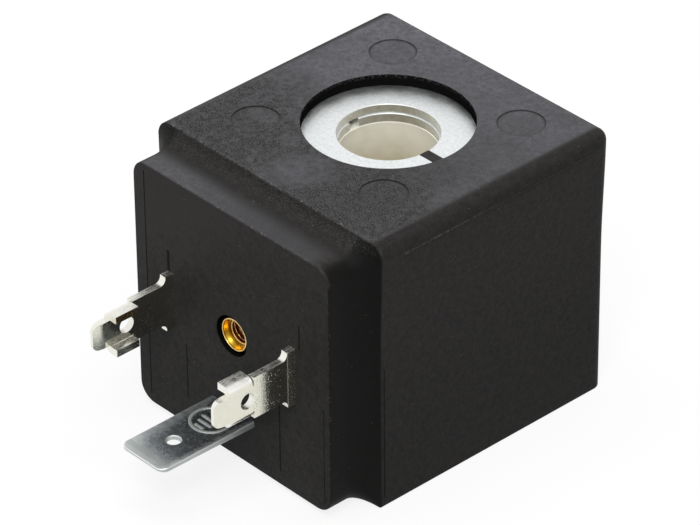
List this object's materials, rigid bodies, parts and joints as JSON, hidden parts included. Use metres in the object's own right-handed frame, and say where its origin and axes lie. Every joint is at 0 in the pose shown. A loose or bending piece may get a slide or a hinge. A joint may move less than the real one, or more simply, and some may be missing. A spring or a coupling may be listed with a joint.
{
  "type": "solenoid valve coil",
  "caption": "Encapsulated solenoid valve coil: square black moulded body with a through bore, recessed steel yoke plates, and blade contacts, an earth tab and a screw insert on a raised face.",
  "frame": {"origin": "on the bore axis at the valve-side face, which the coil stands on", "axes": "+Z along the bore away from the valve; -Y out of the contact face; +X to the right seen from in front of the contacts"},
  "size_m": [0.032, 0.0479, 0.0309],
  "materials": {
    "black_plastic": "fine-textured moulded plastic",
    "galvanised_steel": "galvanised sheet with fine spangle",
    "tinned_brass": "bright tin plate",
    "insert_brass": "bright turned brass",
    "cream_plastic": "natural moulded plastic",
    "copper_wire": "enamelled copper wire",
    "wrap_tape": "amber polyester film",
    "lead_sleeve": "woven sleeving",
    "solder": "dull tin solder"
  },
  "bodies": {
    "root": {"encapsulation": "black_plastic", "outer_yoke": "galvanised_steel", "inner_yoke": "galvanised_steel", "bobbin": "cream_plastic", "winding": "copper_wire", "winding_tape": "wrap_tape", "start_lead": "copper_wire", "start_lead_sleeve": "lead_sleeve", "finish_lead": "copper_wire", "left_solder_joint": "solder", "right_solder_joint": "solder", "left_terminal": "tinned_brass", "right_terminal": "tinned_brass", "earth_terminal": "galvanised_steel", "threaded_insert": "insert_brass"}
  },
  "joints": []
}
